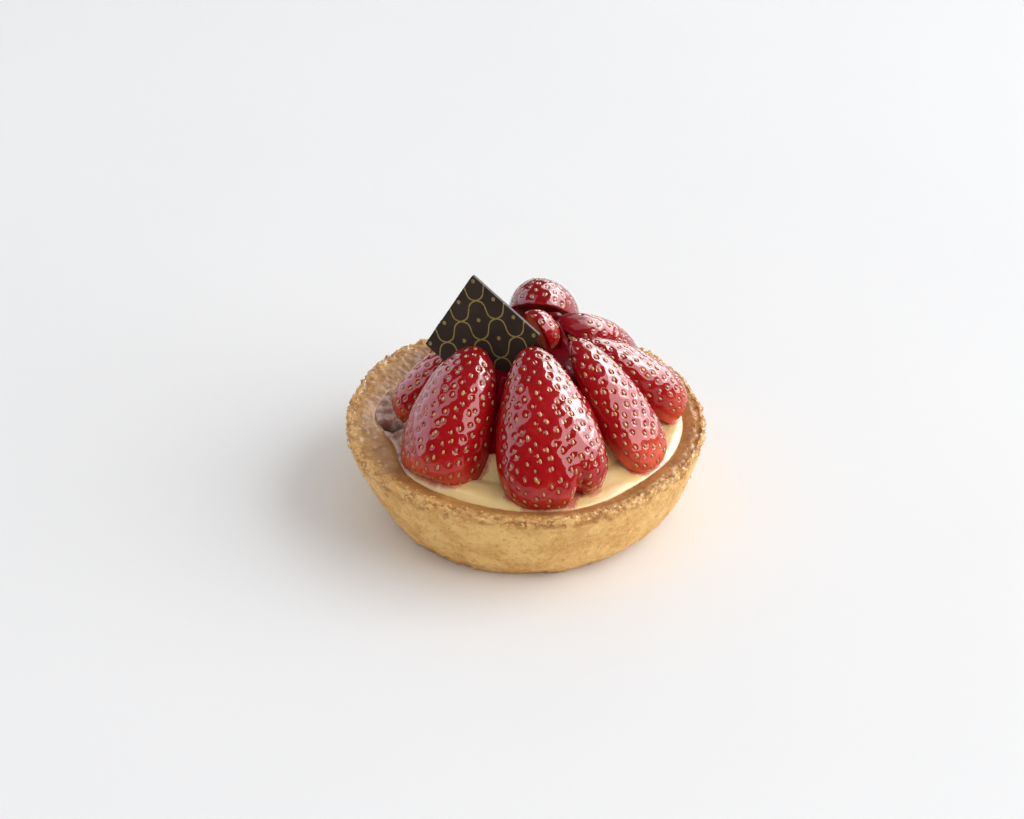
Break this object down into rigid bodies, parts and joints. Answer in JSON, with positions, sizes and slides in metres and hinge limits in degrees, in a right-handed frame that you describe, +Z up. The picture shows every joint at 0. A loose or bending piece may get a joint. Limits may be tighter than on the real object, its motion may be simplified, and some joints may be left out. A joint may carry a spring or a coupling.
{
  "type": "strawberry tart",
  "caption": "Round shortcrust tart filled with a mound of pastry cream, ringed with glazed halved strawberries and topped with a thin square chocolate plaque.",
  "frame": {"origin": "middle of the case's flat base", "axes": "+Z up, square to the base; the chocolate plaque faces -Y, which is the tart's front, and +X is to the right of that view"},
  "size_m": [0.0927, 0.0922, 0.0641],
  "materials": {
    "shortcrust": "baked golden brown, sandy and crumbly, with a glazed inner rim",
    "pastry_cream": "pale yellow, smooth and glossy",
    "strawberry": "deep red under a clear wet glaze, with golden seeds in dimples",
    "chocolate": "dark satin chocolate with fine gold lines"
  },
  "bodies": {
    "root": {"pastry_case": "shortcrust", "cream": "pastry_cream", "strawberry_left": "strawberry", "strawberry_front_left": "strawberry", "strawberry_front": "strawberry", "strawberry_front_right": "strawberry", "strawberry_right": "strawberry", "strawberry_back_right": "strawberry", "strawberry_back": "strawberry", "strawberry_back_left": "strawberry", "strawberry_middle": "strawberry", "chocolate_plaque": "chocolate"}
  },
  "joints": []
}
